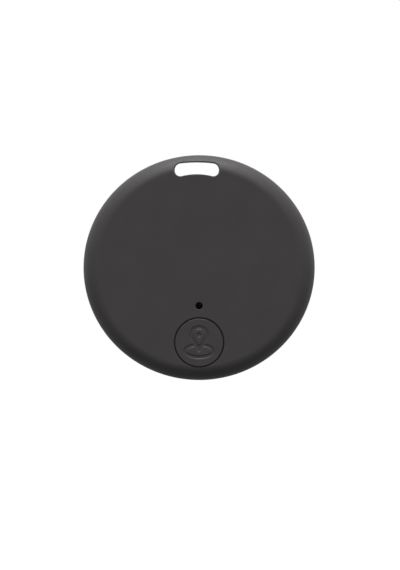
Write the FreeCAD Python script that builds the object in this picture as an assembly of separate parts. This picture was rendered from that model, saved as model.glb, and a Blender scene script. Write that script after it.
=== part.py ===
"""Bluetooth tracker tag: a push-button finder in a two-part pebble case.

Units are millimetres. The tag hangs upright: +Z is up, towards the key-ring slot, -Y is the button face and
+Y the rear cover. The origin is the middle of the case, in the plane where the front shell and the rear cover
meet. Each function returns one piece, already in place. Most round parts are turned about an axis along Y.
"""

import FreeCAD
import Part

import math
import os

from FreeCAD import Vector

# Case: two half pebbles, a little wider than tall
CASE_WIDTH = 40.0
CASE_HEIGHT = 38.9
CASE_THICKNESS = 8.0
RIM_ROLL = 2.6
FACE_WALL = 1.1
SIDE_WALL = 1.2
SEAM_GAP = 0.04
SEAM_CHAMFER = 0.1

# Rim joint: a tongue on the rear cover slides into a rebate in the front shell
TONGUE_THICKNESS = 0.45
TONGUE_LENGTH = 0.9
TONGUE_CLEARANCE = 0.1
BEAD_HEIGHT = 0.07
BEAD_RADIUS = 0.25
BEAD_COUNT = 6
BEAD_ANGLE = 26.0

# Key-ring slot at the parting plane, opening out towards both faces, a little to one side of the middle
SLOT_X = -0.4
SLOT_HALF_WIDTH = 3.81
SLOT_TOP = 18.18
SLOT_TOP_RADIUS = 24.0
SLOT_BOTTOM = 16.16
SLOT_BOTTOM_RADIUS = 10.8
SLOT_TOP_CORNER = 1.1
SLOT_BOTTOM_CORNER = 0.95
SLOT_DRAFT = 0.22
SLOT_WALL = 0.8

# Sound hole and button
SOUND_HOLE_RADIUS = 0.6
SOUND_HOLE_Z = -6.6
EDGE_ROUND = 0.15
BUTTON_Z = -12.93
BUTTON_OPENING_RADIUS = 4.31
BUTTON_RADIUS = 4.15
BUTTON_FLANGE_RADIUS = 4.9
BUTTON_FLANGE_THICKNESS = 0.3
BUTTON_FLANGE_FLAT_Z = -16.1
BUTTON_NUB_RADIUS = 1.0
BUTTON_NUB_HEIGHT = 0.12
BUTTON_PLAY = 0.04

# Location sign engraved in the button: a map pin standing in a ring on the ground
SIGN_DEPTH = 0.15
PIN_RADIUS = 1.63
PIN_LENGTH = 2.9
PIN_LINE = 0.6
PIN_CENTRE = 1.3
PIN_EYE_RADIUS = 0.38
GROUND_CENTRE = -1.46
GROUND_OUTER = (2.65, 1.33)
GROUND_INNER = (2.15, 0.8)

# Circuit board
BOARD_RADIUS = 17.4
BOARD_THICKNESS = 0.8
BOARD_TOP_FLAT = 14.2
SCREW_PLACES = ((-12.2, 8.0), (12.2, 8.0), (-12.4, -7.7))
PEG_PLACE = (12.4, -7.7)
BOSS_RADIUS = 1.6
SCREW_SHANK_RADIUS = 0.6
SCREW_HEAD_RADIUS = 1.3
SCREW_HEAD_HEIGHT = 0.55
SCREW_LENGTH = 2.0
SCREW_HOLE_RADIUS = 0.8
PEG_RADIUS = 0.7
POST_PLACES = ((15.2, 5.0), (-10.8, 11.8), (-9.5, -12.9), (9.5, -12.9))
POST_RADIUS = 0.9

# Chip components: (x, z, degrees about Y) of each, and their heights
CAPACITOR_PLACES = (
    (-12.3, 4.9, 0), (-14.6, 4.7, 0), (-11.7, -4.6, 80), (13.6, 2.6, 90), (14.7, -5.0, 60), (9.9, 11.4, 25),
)
RESISTOR_PLACES = ((-15.0, -6.1, 65), (13.4, -4.5, 60), (8.4, 12.0, 90), (11.4, -10.6, -45), (15.6, 2.4, 90))
CAPACITOR_HEIGHT = 0.7
RESISTOR_HEIGHT = 0.4
TRANSISTOR_PLACE = (-12.6, -2.4)

# Coin cell, 20 mm by 3.2 mm
CELL_RADIUS = 10.0
CELL_HEIGHT = 3.2
CELL_Z = -1.0
CELL_FRONT = -0.42
CELL_WALL = 0.25
CRADLE_CLEARANCE = 0.15
CRADLE_WALL = 0.95
CRADLE_HEIGHT = 1.9

# Piezo buzzer
BUZZER_Z = -0.4
BUZZER_RADIUS = 7.5
BUZZER_RIB = 0.5
BUZZER_CHAMBER = 0.55
BUZZER_TAPE = 0.08
BUZZER_PLATE = 0.12
CERAMIC_RADIUS = 5.2

# Tactile switch under the button
SWITCH_SIZE = 4.5
SWITCH_BODY_HEIGHT = 0.45
SWITCH_FRAME_THICKNESS = 0.08
SWITCH_PLUNGER_RADIUS = 0.85
SWITCH_PLUNGER_TOP = -2.42
SWITCH_WELL_RADIUS = 1.75

# Heights worked out from the sizes above
HALF_WIDTH = CASE_WIDTH / 2
HALF_THICKNESS = CASE_THICKNESS / 2
OVALNESS = CASE_HEIGHT / CASE_WIDTH
INNER_FACE = HALF_THICKNESS - FACE_WALL
INNER_RADIUS = HALF_WIDTH - SIDE_WALL
INNER_ROLL = 2.2
BOARD_FRONT = -1.5
BOARD_REAR = BOARD_FRONT + BOARD_THICKNESS
CELL_REAR = CELL_FRONT + CELL_HEIGHT
CURVE_FULLNESS = 0.5523
Y_AXIS = Vector(0, 1, 0)


# --- shape helpers --------------------------------------------------------------------------------


def tube_profile(points):
    """Closed face in the X-Y plane through (radius, y) points."""
    corners = [Vector(r, y, 0) for r, y in points]
    return Part.Face(Part.makePolygon(corners + corners[:1]))


def turned(points, z=0.0):
    """Solid of revolution of a (radius, y) polygon about the line along Y at height z."""
    solid = tube_profile(points).revolve(Vector(0, 0, 0), Y_AXIS, 360)
    solid.translate(Vector(0, 0, z))
    return solid


def disc(radius, y_front, y_rear, x=0.0, z=0.0):
    """Cylinder along Y between two heights."""
    return Part.makeCylinder(radius, y_rear - y_front, Vector(x, y_front, z), Y_AXIS)


def ring(outer, inner, y_front, y_rear, z=0.0):
    """Flat ring about a line along Y."""
    return disc(outer, y_front, y_rear, 0, z).cut(disc(inner, y_front, y_rear, 0, z))


def block(x, y, z):
    """Box from three (low, high) pairs."""
    sizes = [high - low for low, high in (x, y, z)]
    return Part.makeBox(*sizes, Vector(x[0], y[0], z[0]))


def fused(shapes):
    """One solid from overlapping shapes, with its seams removed."""
    first, *others = shapes
    return first.fuse(others).removeSplitter() if others else first


def group(shapes):
    """Separate solids that share one node."""
    return Part.makeCompound(shapes)


def oval(shape):
    """The round shape, squeezed in height to the outline of the case."""
    squeeze = FreeCAD.Matrix()
    squeeze.scale(1, 1, OVALNESS)
    return shape.transformGeometry(squeeze)


def turned_about_y(shape, degrees, x=0.0, z=0.0):
    """A copy turned about Y, then moved to (x, z)."""
    copy = shape.copy()
    copy.rotate(Vector(0, 0, 0), Y_AXIS, degrees)
    copy.translate(Vector(x, 0, z))
    return copy


def bent_strip(path, thickness, width):
    """Sheet-metal strip along a path of (x, y) points, centred on the path, its width along Z."""
    points = [Vector(x, y, 0) for x, y in path]
    runs = [(b - a).normalize() for a, b in zip(points, points[1:])]
    sides = [Vector(-run.y, run.x, 0) for run in runs]
    offsets = [sides[0]]
    for before, after in zip(sides, sides[1:]):
        middle = (before + after).normalize()
        offsets.append(middle * (1 / middle.dot(after)))
    offsets.append(sides[-1])
    left = [p + o * (thickness / 2) for p, o in zip(points, offsets)]
    right = [p - o * (thickness / 2) for p, o in zip(points, offsets)]
    outline = left + right[::-1]
    strip = Part.Face(Part.makePolygon(outline + outline[:1])).extrude(Vector(0, 0, width))
    strip.translate(Vector(0, 0, -width / 2))
    return strip


# --- case -----------------------------------------------------------------------------------------


def half_pebble(side, radius, roll, depth, y_seam, chamfer=0.0):
    """Half of the case form: a flat face at side * depth whose rim rolls over to the seam at y_seam."""
    face_y = side * depth
    bend_y = y_seam + side * chamfer
    flat = radius - roll
    poles = [
        Vector(flat, face_y, 0),
        Vector(flat + CURVE_FULLNESS * roll, face_y, 0),
        Vector(radius, bend_y + CURVE_FULLNESS * (face_y - bend_y), 0),
        Vector(radius, bend_y, 0),
    ]
    rim = Part.BezierCurve()
    rim.setPoles(poles)
    past_face = face_y + side
    corners = [Vector(radius, bend_y, 0), Vector(radius - chamfer, y_seam, 0), Vector(0, y_seam, 0)]
    corners += [Vector(0, past_face, 0), Vector(flat, past_face, 0), Vector(flat, face_y, 0)]
    edges = [rim.toShape()]
    edges += [Part.makeLine(a, b) for a, b in zip(corners, corners[1:]) if (b - a).Length > 1e-6]
    outline = Part.Wire(Part.__sortEdges__(edges))
    form = oval(Part.Face(outline).revolve(Vector(0, 0, 0), Y_AXIS, 360))
    across = (-CASE_WIDTH, CASE_WIDTH)
    return form.cut(block(across, sorted((face_y, past_face + side)), across))


def corner_arc(corner, wall_x, arc_centre, arc_radius, inside):
    """Centre and two tangent points of a corner that joins the wall x = wall_x to a big arc."""
    reach = arc_radius - corner if inside else arc_radius + corner
    x = wall_x - corner
    z = arc_centre + math.sqrt(reach**2 - x**2)
    share = arc_radius / reach
    on_arc = (x * share, arc_centre + (z - arc_centre) * share)
    return (x, z), (wall_x, z), on_arc


def slot_outline(grow, y):
    """Wire of the key-ring slot at height y, made bigger all round by grow."""
    wall_x = SLOT_HALF_WIDTH + grow
    top_centre = SLOT_TOP - SLOT_TOP_RADIUS
    top_radius = SLOT_TOP_RADIUS + grow
    bottom_centre = SLOT_BOTTOM - SLOT_BOTTOM_RADIUS
    bottom_radius = SLOT_BOTTOM_RADIUS - grow
    top = corner_arc(SLOT_TOP_CORNER + grow, wall_x, top_centre, top_radius, True)
    bottom = corner_arc(SLOT_BOTTOM_CORNER + grow, wall_x, bottom_centre, bottom_radius, False)

    def at(point, mirror=1):
        return Vector(SLOT_X + mirror * point[0], y, point[1])

    def corner_edge(corner, radius, mirror, outward):
        centre, on_wall, on_arc = corner
        middle = Vector(*(0.5 * (a + b) for a, b in zip(on_wall, on_arc)), 0) - Vector(*centre, 0)
        middle = Vector(*centre, 0) + middle.normalize() * radius
        ends = [at(on_arc, mirror), at((middle.x, middle.y), mirror), at(on_wall, mirror)]
        return Part.Arc(*(ends if outward else ends[::-1])).toShape()

    top_corner = SLOT_TOP_CORNER + grow
    bottom_corner = SLOT_BOTTOM_CORNER + grow
    edges = [
        Part.Arc(at(top[2], -1), at((0, top_centre + top_radius)), at(top[2])).toShape(),
        corner_edge(top, top_corner, 1, True),
        Part.makeLine(at(top[1]), at(bottom[1])),
        corner_edge(bottom, bottom_corner, 1, False),
        Part.Arc(at(bottom[2]), at((0, bottom_centre + bottom_radius)), at(bottom[2], -1)).toShape(),
        corner_edge(bottom, bottom_corner, -1, True),
        Part.makeLine(at(bottom[1], -1), at(top[1], -1)),
        corner_edge(top, top_corner, -1, False),
    ]
    return Part.Wire(edges)


def slot_cutter(side):
    """The slot's opening on one side of the seam, tapering out to the face and a little past it."""
    past_face = HALF_THICKNESS + 0.4
    mouth_grow = SLOT_DRAFT * past_face / HALF_THICKNESS
    past_seam = 0.2
    taper = Part.makeLoft([slot_outline(0, 0), slot_outline(mouth_grow, side * past_face)], True)
    start = Part.Face(slot_outline(0, 0)).extrude(Vector(0, -side * past_seam, 0))
    return fused([taper, start])


def slot_sleeve(side, y_seam):
    """The wall around the slot, from the seam to the face, before it is trimmed to the case."""
    outline = slot_outline(SLOT_DRAFT + SLOT_WALL, y_seam)
    return Part.Face(outline).extrude(Vector(0, side * HALF_THICKNESS - y_seam, 0))


def near_slot(margin):
    """Box around the slot's walls, where the rim joint stops."""
    reach = SLOT_HALF_WIDTH + SLOT_DRAFT + SLOT_WALL + margin
    across = (SLOT_X - reach, SLOT_X + reach)
    return block(across, (-HALF_THICKNESS, HALF_THICKNESS), (SLOT_BOTTOM - 4, CASE_HEIGHT))


def oval_ring(outer, inner, y_front, y_rear):
    """Flat ring with the outline of the case."""
    return oval(ring(outer, inner, y_front, y_rear))


def rounded_opening(radius, z, depth_y):
    """Cutter for a round opening in the front face whose outer edge is rounded."""
    face = -HALF_THICKNESS
    corners = [(0, depth_y), (radius, depth_y), (radius, face + EDGE_ROUND)]
    edges = [Part.makeLine(Vector(*a, 0), Vector(*b, 0)) for a, b in zip(corners, corners[1:])]
    start = Vector(radius, face + EDGE_ROUND, 0)
    centre = Vector(radius + EDGE_ROUND, face + EDGE_ROUND, 0)
    middle = centre + Vector(-1, -1, 0).normalize() * EDGE_ROUND
    end = Vector(radius + EDGE_ROUND, face, 0)
    edges.append(Part.Arc(start, middle, end).toShape())
    outside = [end, Vector(end.x, face - 0.5, 0), Vector(0, face - 0.5, 0), Vector(0, depth_y, 0)]
    edges += [Part.makeLine(a, b) for a, b in zip(outside, outside[1:])]
    cutter = Part.Face(Part.Wire(edges)).revolve(Vector(0, 0, 0), Y_AXIS, 360)
    cutter.translate(Vector(0, 0, z))
    return cutter


def front_shell():
    """Button-side half of the case, with its slot, openings, buzzer chamber and screw bosses."""
    outside = half_pebble(-1, HALF_WIDTH, RIM_ROLL, HALF_THICKNESS, 0, SEAM_CHAMFER)
    cavity = half_pebble(-1, INNER_RADIUS, INNER_ROLL, INNER_FACE, 0)
    rebate_radius = INNER_RADIUS + TONGUE_THICKNESS + TONGUE_CLEARANCE
    rebate = oval_ring(rebate_radius, INNER_RADIUS - 1, -TONGUE_LENGTH - 0.1, 0.1).cut(near_slot(0.2))
    bead_y = -TONGUE_LENGTH + BEAD_RADIUS + 0.1
    groove_depth = BEAD_HEIGHT + 0.03
    groove = oval_ring(rebate_radius + groove_depth, INNER_RADIUS, bead_y - 0.2, bead_y + 0.2)
    shell = outside.cut([cavity, rebate, groove.cut(near_slot(0.2))])

    inside = [slot_sleeve(-1, 0)]
    inside += [disc(BOSS_RADIUS, -INNER_FACE - 0.5, BOARD_FRONT, x, z) for x, z in SCREW_PLACES]
    inside.append(disc(BOSS_RADIUS, -INNER_FACE - 0.5, BOARD_FRONT, *PEG_PLACE))
    inside.append(disc(PEG_RADIUS, BOARD_FRONT - 0.5, BOARD_REAR - 0.1, *PEG_PLACE))
    chamber_rib = (BUZZER_RADIUS, BUZZER_RADIUS - BUZZER_RIB)
    inside.append(ring(*chamber_rib, -INNER_FACE - 0.5, -INNER_FACE + BUZZER_CHAMBER, BUZZER_Z))
    guide_x = BUTTON_FLANGE_RADIUS + 0.15
    for side in (-1, 1):
        guide = sorted((side * guide_x, side * (guide_x + 0.6)))
        inside.append(block(guide, (-INNER_FACE - 0.5, -INNER_FACE + 0.9), (-15.0, -10.6)))
    shell = fused([shell] + [piece.common(outside) for piece in inside])

    openings = [
        slot_cutter(-1),
        rounded_opening(SOUND_HOLE_RADIUS, SOUND_HOLE_Z, -INNER_FACE + 0.1),
        rounded_opening(BUTTON_OPENING_RADIUS, BUTTON_Z, -INNER_FACE + 1.0),
    ]
    core_radius = SCREW_SHANK_RADIUS + 0.02
    openings += [disc(core_radius, -INNER_FACE, 0, x, z) for x, z in SCREW_PLACES]
    return shell.cut(openings)


def snap_beads():
    """Short raised beads on the outside of the tongue."""
    radius = INNER_RADIUS + TONGUE_THICKNESS
    bead_y = -TONGUE_LENGTH + BEAD_RADIUS + 0.1
    sink = BEAD_RADIUS - BEAD_HEIGHT
    full = Part.makeTorus(radius - sink, BEAD_RADIUS, Vector(0, bead_y, 0), Y_AXIS)
    outside_tongue = full.cut(disc(radius - 0.1, -HALF_THICKNESS, HALF_THICKNESS))
    beads = []
    for i in range(BEAD_COUNT):
        wedge = Part.makeCylinder(HALF_WIDTH, 2, Vector(0, bead_y - 1, 0), Y_AXIS, BEAD_ANGLE)
        middle = (i + 0.5) * 360 / BEAD_COUNT - BEAD_ANGLE / 2
        beads.append(oval(outside_tongue.common(turned_about_y(wedge, middle))))
    return beads


def stiffening_ribs():
    """Low radial ribs inside the rear cover, outside the cell."""
    ribs = []
    for i in range(12):
        rib = block((12.2, INNER_RADIUS), (INNER_FACE - 0.5, INNER_FACE + 0.5), (-0.25, 0.25))
        ribs.append(turned_about_y(rib, i * 30 + 15))
    return ribs


def cell_sign():
    """Battery sign for the rear face: a ring with a plus in it, and an arrow to the pry notch."""
    y_deep, y_past = HALF_THICKNESS - SIGN_DEPTH, HALF_THICKNESS + 0.2
    z = -11.0
    bars = [block((-a, a), (y_deep, y_past), (z - b, z + b)) for a, b in ((0.9, 0.2), (0.2, 0.9))]
    tip = Vector(0, y_deep, z - 4.6)
    shoulders = [Vector(side * 0.8, y_deep, z - 3.4) for side in (-1, 1)]
    arrow = Part.Face(Part.makePolygon([tip, *shoulders, tip])).extrude(Vector(0, y_past - y_deep, 0))
    return [ring(2.0, 1.6, y_deep, y_past, z), fused(bars), arrow]


def rear_cover():
    """Back half of the case: it pulls straight off to reach the coin cell."""
    outside = half_pebble(1, HALF_WIDTH, RIM_ROLL, HALF_THICKNESS, SEAM_GAP, SEAM_CHAMFER)
    cavity = half_pebble(1, INNER_RADIUS, INNER_ROLL, INNER_FACE, 0)
    tongue_radius = INNER_RADIUS + TONGUE_THICKNESS
    tongue = oval_ring(tongue_radius, INNER_RADIUS, -TONGUE_LENGTH, 0.3).cut(near_slot(0.4))
    beads = [bead.cut(near_slot(0.4)) for bead in snap_beads()]
    beads = [bead for bead in beads if bead.Volume > 0]

    inside = [slot_sleeve(1, SEAM_GAP)] + stiffening_ribs()
    inside += [disc(POST_RADIUS, BOARD_REAR + 0.02, INNER_FACE + 0.5, x, z) for x, z in POST_PLACES]
    inside.append(ring(8.3, 7.7, CELL_REAR + 0.02, INNER_FACE + 0.5, CELL_Z))
    full = half_pebble(1, HALF_WIDTH, RIM_ROLL, HALF_THICKNESS, 0)
    front_half = half_pebble(-1, INNER_RADIUS - 0.2, INNER_ROLL, INNER_FACE, 0)
    envelope = full.fuse(front_half)
    cover = fused([outside.cut(cavity), tongue] + beads + [piece.common(envelope) for piece in inside])

    notch = Part.makeCylinder(4.0, 0.9, Vector(0, SEAM_GAP - 0.01, -CASE_HEIGHT / 2 - 3.5), Y_AXIS)
    return cover.cut([slot_cutter(1), notch] + cell_sign())


# --- button ---------------------------------------------------------------------------------------


def pin_outline(inset):
    """Face of a map pin, a circle running down to a point, made smaller all round by inset."""
    radius = PIN_RADIUS - inset
    length = PIN_LENGTH * radius / PIN_RADIUS
    half_angle = math.asin(radius / length)
    y = -HALF_THICKNESS - 0.2
    touch = Vector(radius * math.cos(half_angle), y, PIN_CENTRE - radius * math.sin(half_angle))
    mirror = Vector(-touch.x, y, touch.z)
    tip = Vector(0, y, PIN_CENTRE - length)
    head = Part.Arc(touch, Vector(0, y, PIN_CENTRE + radius), mirror).toShape()
    return Part.Face(Part.Wire([head, Part.makeLine(mirror, tip), Part.makeLine(tip, touch)]))


def ground_outline(radii):
    """Face of an ellipse lying below the pin."""
    centre = Vector(0, -HALF_THICKNESS - 0.2, GROUND_CENTRE)
    ellipse = Part.Ellipse(centre + Vector(radii[0], 0, 0), centre + Vector(0, 0, radii[1]), centre)
    return Part.Face(Part.Wire(ellipse.toShape()))


def location_sign():
    """Cutter for the engraved lines on the button."""
    deep = Vector(0, SIGN_DEPTH + 0.2, 0)
    pin = pin_outline(0).extrude(deep)
    pin_line = pin.cut(pin_outline(PIN_LINE).extrude(deep))
    ground = ground_outline(GROUND_OUTER).extrude(deep)
    ground_line = ground.cut([ground_outline(GROUND_INNER).extrude(deep), pin])
    face = -HALF_THICKNESS
    eye = disc(PIN_EYE_RADIUS, face - 0.2, face + SIGN_DEPTH, 0, PIN_CENTRE)
    return [pin_line, ground_line, eye]


def button_cap():
    """Push button: flush with the face, kept in by a flange whose flat bottom also stops it turning."""
    face = -HALF_THICKNESS
    shoulder = -INNER_FACE + BUTTON_PLAY
    rear = shoulder + BUTTON_FLANGE_THICKNESS
    body = disc(BUTTON_RADIUS, face, shoulder + 0.1)
    body = body.makeFillet(EDGE_ROUND, [edge for edge in body.Edges if edge.BoundBox.YMax < face + 0.01])
    flange = disc(BUTTON_FLANGE_RADIUS, shoulder, rear)
    below = BUTTON_FLANGE_FLAT_Z - BUTTON_Z
    flange = flange.cut(block((-9, 9), (shoulder - 1, rear + 1), (below - 9, below)))
    nub = disc(BUTTON_NUB_RADIUS, rear - 0.1, rear + BUTTON_NUB_HEIGHT)
    cap = fused([body, flange, nub]).cut(location_sign())
    cap.translate(Vector(0, 0, BUTTON_Z))
    return cap.common(half_pebble(-1, HALF_WIDTH, RIM_ROLL, HALF_THICKNESS, 0))


# --- tactile switch -------------------------------------------------------------------------------


def switch_base():
    """Moulded base of the switch with its round well."""
    half = SWITCH_SIZE / 2
    top = BOARD_FRONT - SWITCH_BODY_HEIGHT
    base = block((-half, half), (top, BOARD_FRONT), (-half, half))
    base = base.makeFillet(0.3, [e for e in base.Edges if e.BoundBox.YLength > SWITCH_BODY_HEIGHT - 0.01])
    well = disc(SWITCH_WELL_RADIUS, top - 0.1, BOARD_FRONT - 0.06)
    return turned_about_y(base.cut(well), 0, 0, BUTTON_Z)


def switch_frame():
    """Folded metal cover that keeps the plunger in the base."""
    half = SWITCH_SIZE / 2
    top = BOARD_FRONT - SWITCH_BODY_HEIGHT
    plate = block((-half, half), (top - SWITCH_FRAME_THICKNESS, top), (-half, half))
    plate = plate.makeFillet(0.3, [e for e in plate.Edges if e.BoundBox.YLength > 0.01])
    plate = plate.cut(disc(SWITCH_PLUNGER_RADIUS + 0.08, top - 1, top + 1))
    sides = []
    for side in (-1, 1):
        wall = sorted((side * half, side * (half + SWITCH_FRAME_THICKNESS)))
        sides.append(block(wall, (top - SWITCH_FRAME_THICKNESS, BOARD_FRONT - 0.1), (-0.8, 0.8)))
    return turned_about_y(fused([plate] + sides), 0, 0, BUTTON_Z)


def switch_plunger():
    """Stem that the button nub pushes, with a flange below the frame."""
    under_frame = BOARD_FRONT - SWITCH_BODY_HEIGHT + 0.02
    stem = disc(SWITCH_PLUNGER_RADIUS, SWITCH_PLUNGER_TOP, under_frame + 0.05)
    stem = stem.makeChamfer(0.12, [e for e in stem.Edges if e.BoundBox.YMax < SWITCH_PLUNGER_TOP + 0.01])
    flange = disc(SWITCH_PLUNGER_RADIUS + 0.3, under_frame, under_frame + 0.08)
    return turned_about_y(fused([stem, flange]), 0, 0, BUTTON_Z)


def switch_dome():
    """Snap dome: a thin cap that clicks when the plunger flattens it."""
    rim_radius, rise, sheet = 1.6, 0.2, 0.05
    foot = BOARD_FRONT - 0.07
    ball_radius = (rim_radius**2 + rise**2) / (2 * rise)
    centre = Vector(0, foot - rise + ball_radius, 0)
    outer = Part.makeSphere(ball_radius, centre)
    inner = Part.makeSphere(ball_radius - sheet, centre)
    dome = outer.cut(inner).common(disc(rim_radius, foot - rise - 0.1, foot))
    return turned_about_y(dome, 0, 0, BUTTON_Z)


def switch_terminals():
    """Four legs that solder the switch to the board."""
    start = SWITCH_SIZE / 2
    legs = []
    for side_x in (-1, 1):
        for side_z in (-1, 1):
            x = sorted((side_x * start, side_x * (start + 0.7)))
            z = sorted((side_z * 1.2, side_z * 1.9))
            legs.append(block(x, (BOARD_FRONT - 0.14, BOARD_FRONT), (BUTTON_Z + z[0], BUTTON_Z + z[1])))
    return group(legs)


# --- buzzer ---------------------------------------------------------------------------------------


def buzzer_levels():
    """Front heights of the tape, the brass plate and the ceramic, and the ceramic's rear."""
    tape = -INNER_FACE + BUZZER_CHAMBER
    plate = tape + BUZZER_TAPE
    ceramic = plate + BUZZER_PLATE
    return tape, plate, ceramic, ceramic + BUZZER_PLATE


def sound_mesh():
    """Dust mesh glued behind the sound hole."""
    return disc(SOUND_HOLE_RADIUS + 0.18, -INNER_FACE, -INNER_FACE + 0.1, 0, SOUND_HOLE_Z)


def buzzer_tape_ring():
    """Double-sided tape that holds the piezo disc on its rib."""
    tape, plate, _, _ = buzzer_levels()
    return ring(BUZZER_RADIUS, BUZZER_RADIUS - BUZZER_RIB, tape, plate, BUZZER_Z)


def buzzer_plate():
    """Brass disc of the piezo buzzer."""
    _, plate, ceramic, _ = buzzer_levels()
    return disc(BUZZER_RADIUS, plate, ceramic, 0, BUZZER_Z)


def buzzer_ceramic():
    """Piezo ceramic disc bonded to the brass."""
    _, _, ceramic, rear = buzzer_levels()
    return disc(CERAMIC_RADIUS, ceramic, rear, 0, BUZZER_Z)


def buzzer_contacts():
    """Two leaf springs on the board: one touches the brass, one the ceramic."""
    _, _, ceramic, rear = buzzer_levels()
    sheet = 0.1
    foot = BOARD_FRONT - sheet / 2
    paths = (
        [(10.2, foot), (8.9, foot), (7.2, ceramic + 0.08), (6.3, ceramic + 0.16)],
        [(-10.2, foot), (-8.9, foot), (-4.4, rear + 0.08), (-3.4, rear + 0.16)],
    )
    return group([turned_about_y(bent_strip(path, sheet, 1.2), 0, 0, BUZZER_Z) for path in paths])


# --- coin cell and its contacts -------------------------------------------------------------------


def cell_can():
    """Positive steel can, closed at the rear and crimped in at the front."""
    outer, inner = CELL_RADIUS, CELL_RADIUS - CELL_WALL
    rear, front = CELL_REAR, CELL_FRONT + 0.1
    round_off = 0.12
    can = turned(
        [
            (0, rear), (outer - 0.35, rear), (outer - round_off, rear - round_off), (outer, rear - 0.35),
            (outer, front + 0.5), (outer - 0.1, front + 0.2), (outer - 0.4, front), (9.15, front),
            (9.15, front + CELL_WALL), (inner - 0.2, front + CELL_WALL), (inner, front + 0.55),
            (inner, rear - CELL_WALL), (0, rear - CELL_WALL),
        ],
        CELL_Z,
    )
    plus = [
        block((-a, a), (rear - 0.06, rear + 1), (CELL_Z + 5.6 - b, CELL_Z + 5.6 + b))
        for a, b in ((1.2, 0.22), (0.22, 1.2))
    ]
    return can.cut(fused(plus))


def cell_gasket():
    """Plastic seal between the can and the negative cap."""
    front = CELL_FRONT + 0.06
    lip = CELL_FRONT + 0.1 + CELL_WALL
    points = [(8.8, front), (9.12, front), (9.12, lip + 0.03), (9.5, lip + 0.03), (9.7, front + 0.65)]
    points += [(9.7, 1.9), (9.4, 1.9), (9.4, 0.42), (8.8, 0.42)]
    return turned(points, CELL_Z)


def cell_cap():
    """Negative cap, facing the board."""
    front = CELL_FRONT
    points = [(0, front), (8.4, front), (8.65, front + 0.1), (8.75, front + 0.3), (8.75, 0.47), (9.35, 0.47)]
    points += [(9.35, 1.85), (9.15, 1.85), (9.15, 0.67), (8.55, 0.67), (8.5, front + 0.35)]
    points += [(8.3, front + 0.2), (0, front + 0.2)]
    return turned(points, CELL_Z)


def cell_core():
    """Anode, separator and cathode pellet, drawn as one filling."""
    front, rear = CELL_FRONT + 0.22, CELL_REAR - CELL_WALL
    return turned([(0, front), (8.25, front), (8.45, 0.7), (9.1, 0.7), (9.1, rear), (0, rear)], CELL_Z)


def cell_cradle():
    """Moulded ring on the board that centres the cell, open at the contact and at the finger gap."""
    inner = CELL_RADIUS + CRADLE_CLEARANCE
    outer = inner + CRADLE_WALL
    rear = BOARD_REAR + CRADLE_HEIGHT
    wall = turned(
        [(inner, BOARD_REAR), (outer, BOARD_REAR), (outer, rear), (inner + 0.3, rear), (inner, rear - 0.3)]
    )
    contact_gap = block((0, 20), (-3, 3), (-2.4, 2.4))
    finger_gap = turned_about_y(contact_gap, 112)
    return turned_about_y(wall.cut([contact_gap, finger_gap]), 0, 0, CELL_Z)


def positive_contact():
    """Sprung clip that presses on the side of the can."""
    sheet = 0.15
    foot = BOARD_REAR + sheet / 2
    touch = CELL_RADIUS + 0.02 + sheet / 2
    path = [(13.4, foot), (10.9, foot), (10.5, 0.2), (touch + 0.02, 1.3), (10.5, 2.3)]
    clip = bent_strip(path, sheet, 3.6)
    relief = block((9.5, 11.6), (BOARD_REAR + 0.5, 3), (-0.2, 0.2))
    return turned_about_y(clip.cut(relief), 0, 0, CELL_Z)


def negative_contact():
    """Three-fingered spring plate under the cell."""
    sheet = 0.12
    foot = BOARD_REAR + sheet / 2
    lift = CELL_FRONT - 0.02 - sheet / 2
    plate = disc(2.4, BOARD_REAR, BOARD_REAR + sheet)
    fingers = []
    for i in range(3):
        finger = bent_strip([(1.8, foot), (3.0, foot), (5.6, lift - 0.01), (6.4, foot + 0.02)], sheet, 1.6)
        fingers.append(turned_about_y(finger, 90 + i * 120))
    return turned_about_y(fused([plate] + fingers), 0, 0, CELL_Z)


# --- circuit board and what is soldered to it -----------------------------------------------------


def circuit_board():
    """Round board, cut flat below the slot."""
    board = disc(BOARD_RADIUS, BOARD_FRONT, BOARD_REAR)
    holes = [disc(SCREW_HOLE_RADIUS, -3, 3, x, z) for x, z in SCREW_PLACES]
    holes.append(disc(PEG_RADIUS + 0.05, -3, 3, *PEG_PLACE))
    return board.cut(holes + [block((-20, 20), (-3, 3), (BOARD_TOP_FLAT, 20))])


def board_screws():
    """Three small pan-head screws with cross recesses."""
    screws = []
    for x, z in SCREW_PLACES:
        head = disc(SCREW_HEAD_RADIUS, BOARD_REAR, BOARD_REAR + SCREW_HEAD_HEIGHT)
        head = head.makeFillet(0.3, [e for e in head.Edges if e.BoundBox.YMin > BOARD_REAR + 0.5])
        shank = disc(SCREW_SHANK_RADIUS, BOARD_REAR - SCREW_LENGTH, BOARD_REAR + 0.1)
        shank = shank.makeChamfer(0.2, [e for e in shank.Edges if e.BoundBox.YMax < BOARD_REAR - 1])
        depth = (BOARD_REAR + 0.2, BOARD_REAR + 1)
        cross = [block((-a, a), depth, (-b, b)) for a, b in ((0.7, 0.13), (0.13, 0.7))]
        screw = fused([head, shank]).cut(fused(cross))
        screws.append(turned_about_y(screw, 20 + x, x, z))
    return group(screws)


def antenna_trace():
    """Folded copper antenna along the top of the board."""
    y = (BOARD_REAR, BOARD_REAR + 0.05)
    low, high, width, pitch, bars = 11.5, 13.6, 0.45, 1.3, 10
    start = -pitch * (bars - 1) / 2
    pieces = []
    for i in range(bars):
        x = start + i * pitch
        pieces.append(block((x - width / 2, x + width / 2), y, (low, high)))
        if i + 1 < bars:
            z = high if i % 2 == 0 else low
            link_z = sorted((z, z - math.copysign(width, z - (low + high) / 2)))
            pieces.append(block((x - width / 2, x + pitch + width / 2), y, link_z))
    feed = block((start - 2.2, start + width / 2), y, (low, low + width))
    return fused(pieces + [feed])


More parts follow.
